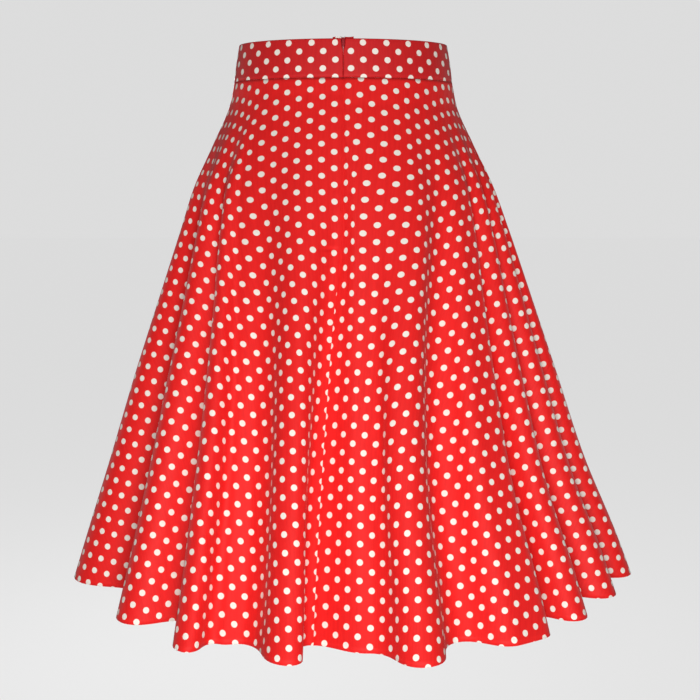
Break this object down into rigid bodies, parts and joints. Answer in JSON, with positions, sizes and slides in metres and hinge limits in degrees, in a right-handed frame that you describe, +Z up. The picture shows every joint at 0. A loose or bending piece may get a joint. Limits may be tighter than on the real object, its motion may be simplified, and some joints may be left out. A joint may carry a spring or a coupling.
{
  "type": "midi skirt",
  "caption": "Flared midi swing skirt in dotted cotton, filled out as worn, with a shaped waistband and a zip at the centre back.",
  "frame": {"origin": "centre of the waistband, halfway up its depth, where the wearer's waist holds the skirt", "axes": "+Z up, -Y the garment's front, +Y its back with the zip, +X the wearer's left"},
  "size_m": [0.6486, 0.6661, 0.618],
  "materials": {
    "skirt_cloth": "cotton sateen, red with small white dots",
    "band_cloth": "cotton sateen over interfacing, red with small white dots",
    "zip_tape": "woven polyester tape, dark red",
    "zip_metal": "enamelled dark red"
  },
  "bodies": {
    "skirt": {"waistband_front": "band_cloth", "waistband_back_left": "band_cloth", "waistband_back_right": "band_cloth", "skirt_front": "skirt_cloth", "skirt_back_left": "skirt_cloth", "skirt_back_right": "skirt_cloth", "zip_tape": "zip_tape", "zip_slider": "zip_metal"},
    "pull": {"zip_pull": "zip_metal"}
  },
  "joints": [
    {"name": "zip_pull_swing", "type": "hinge", "parent": "skirt", "child": "pull", "pos_m": [0, 0.0925, 0.0211], "axis": [1, 0, 0], "range_deg": [0, 150]}
  ]
}
